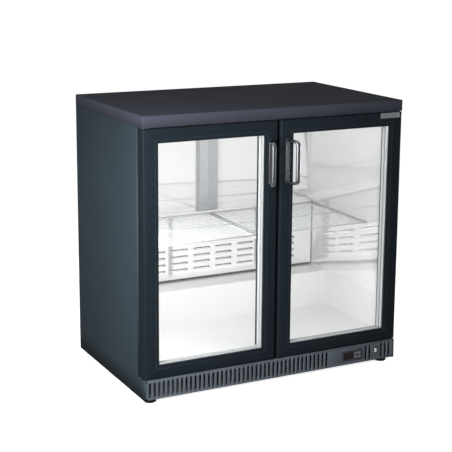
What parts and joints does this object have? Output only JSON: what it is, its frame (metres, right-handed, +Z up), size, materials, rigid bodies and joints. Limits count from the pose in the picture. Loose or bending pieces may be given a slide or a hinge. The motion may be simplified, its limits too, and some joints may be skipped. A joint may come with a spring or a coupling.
{
  "type": "under counter fridge",
  "caption": "Low black bar fridge with glazed hinged doors, chrome bow handles, a bright lined cold space with wire shelves, and a ribbed plinth grille that holds its controller.",
  "frame": {"origin": "centre of the footprint, handles included, at floor level", "axes": "+Z up, the doors face -Y, +X to the right as seen from the front"},
  "size_m": [0.9, 0.598, 0.875],
  "materials": {
    "worktop_steel": "satin",
    "worktop_core": "matte",
    "cabinet_steel": "satin",
    "galvanised_steel": "satin",
    "foam": "matte",
    "liner_aluminium": "gloss",
    "front_frame_plastic": "satin",
    "plinth_plastic": "satin",
    "controller_plastic": "satin",
    "display_lens": "gloss",
    "button_plastic": "satin",
    "rocker_plastic": "gloss",
    "door_frame_aluminium": "satin",
    "door_glass": "gloss",
    "spacer_aluminium": "satin",
    "bead_plastic": "satin",
    "gasket_rubber": "matte",
    "handle_chrome": "polished",
    "badge_metal": "satin",
    "shelf_wire": "satin",
    "lamp_diffuser": "satin",
    "coil_aluminium": "satin",
    "fan_plastic": "satin",
    "compressor_steel": "satin",
    "tray_plastic": "satin",
    "pipe_copper": "satin",
    "gland_plastic": "satin",
    "foot_rubber": "matte"
  },
  "bodies": {
    "cabinet": {"worktop": "worktop_steel", "worktop_core": "worktop_core", "side_panel_left": "cabinet_steel", "side_panel_right": "cabinet_steel", "rear_panel": "galvanised_steel", "base_tray": "galvanised_steel", "hinge_bracket_upper_left": "galvanised_steel", "hinge_bracket_lower_left": "galvanised_steel", "hinge_bracket_upper_right": "galvanised_steel", "hinge_bracket_lower_right": "galvanised_steel", "foam_insulation": "foam", "inner_liner": "liner_aluminium", "evaporator_cover": "liner_aluminium", "shelf_rail_left": "liner_aluminium", "shelf_rail_right": "liner_aluminium", "shelf_rail_centre": "liner_aluminium", "front_frame": "front_frame_plastic", "centre_mullion": "front_frame_plastic", "front_grille": "plinth_plastic", "controller_housing": "controller_plastic", "lamp_switch_body": "controller_plastic", "controller_display": "display_lens", "shelf_left": "shelf_wire", "shelf_right": "shelf_wire", "interior_lamp": "lamp_diffuser", "evaporator_coil": "coil_aluminium", "condenser_coil": "coil_aluminium", "rear_air_duct": "coil_aluminium", "evaporator_fan_motor": "fan_plastic", "condenser_fan_motor": "fan_plastic", "compressor": "compressor_steel", "condensate_tray": "tray_plastic", "discharge_pipe": "pipe_copper", "mains_inlet_gland": "gland_plastic", "foot_front_left": "foot_rubber", "foot_front_right": "foot_rubber", "foot_rear_left": "foot_rubber", "foot_rear_right": "foot_rubber"},
    "door_left": {"door_frame_left": "door_frame_aluminium", "door_outer_glass_left": "door_glass", "door_inner_glass_left": "door_glass", "door_spacer_left": "spacer_aluminium", "glazing_bead_left": "bead_plastic", "door_gasket_left": "gasket_rubber", "door_handle_left": "handle_chrome"},
    "door_right": {"door_frame_right": "door_frame_aluminium", "door_outer_glass_right": "door_glass", "door_inner_glass_right": "door_glass", "door_spacer_right": "spacer_aluminium", "glazing_bead_right": "bead_plastic", "door_gasket_right": "gasket_rubber", "door_handle_right": "handle_chrome", "badge_plate": "badge_metal"},
    "set_button": {"button_set": "button_plastic"},
    "up_button": {"button_up": "button_plastic"},
    "down_button": {"button_down": "button_plastic"},
    "defrost_button": {"button_defrost": "button_plastic"},
    "lamp_switch": {"lamp_switch_rocker": "rocker_plastic"},
    "evaporator_fan": {"evaporator_fan_wheel": "fan_plastic"},
    "condenser_fan": {"condenser_fan_wheel": "fan_plastic"}
  },
  "joints": [
    {"name": "door_left_hinge", "type": "hinge", "parent": "cabinet", "child": "door_left", "pos_m": [-0.434, -0.231, 0.08], "axis": [0, 0, -1], "range_deg": [0, 110]},
    {"name": "door_right_hinge", "type": "hinge", "parent": "cabinet", "child": "door_right", "pos_m": [0.434, -0.231, 0.08], "axis": [0, 0, 1], "range_deg": [0, 110]},
    {"name": "set_button_press", "type": "slide", "parent": "cabinet", "child": "set_button", "axis": [0, 1, 0], "range_m": [0, 0.0008], "stiffness_N_per_m": 900},
    {"name": "up_button_press", "type": "slide", "parent": "cabinet", "child": "up_button", "axis": [0, 1, 0], "range_m": [0, 0.0008], "stiffness_N_per_m": 900},
    {"name": "down_button_press", "type": "slide", "parent": "cabinet", "child": "down_button", "axis": [0, 1, 0], "range_m": [0, 0.0008], "stiffness_N_per_m": 900},
    {"name": "defrost_button_press", "type": "slide", "parent": "cabinet", "child": "defrost_button", "axis": [0, 1, 0], "range_m": [0, 0.0008], "stiffness_N_per_m": 900},
    {"name": "lamp_switch_rock", "type": "hinge", "parent": "cabinet", "child": "lamp_switch", "pos_m": [0.377, -0.245, 0.05], "axis": [1, 0, 0], "range_deg": [-16, 0]},
    {"name": "evaporator_fan_spin", "type": "hinge", "parent": "cabinet", "child": "evaporator_fan", "pos_m": [0.23, 0.234, 0.345], "axis": [0, 1, 0], "continuous": true},
    {"name": "condenser_fan_spin", "type": "hinge", "parent": "cabinet", "child": "condenser_fan", "pos_m": [0.02, 0.224, 0.0811], "axis": [1, 0, 0], "continuous": true}
  ]
}
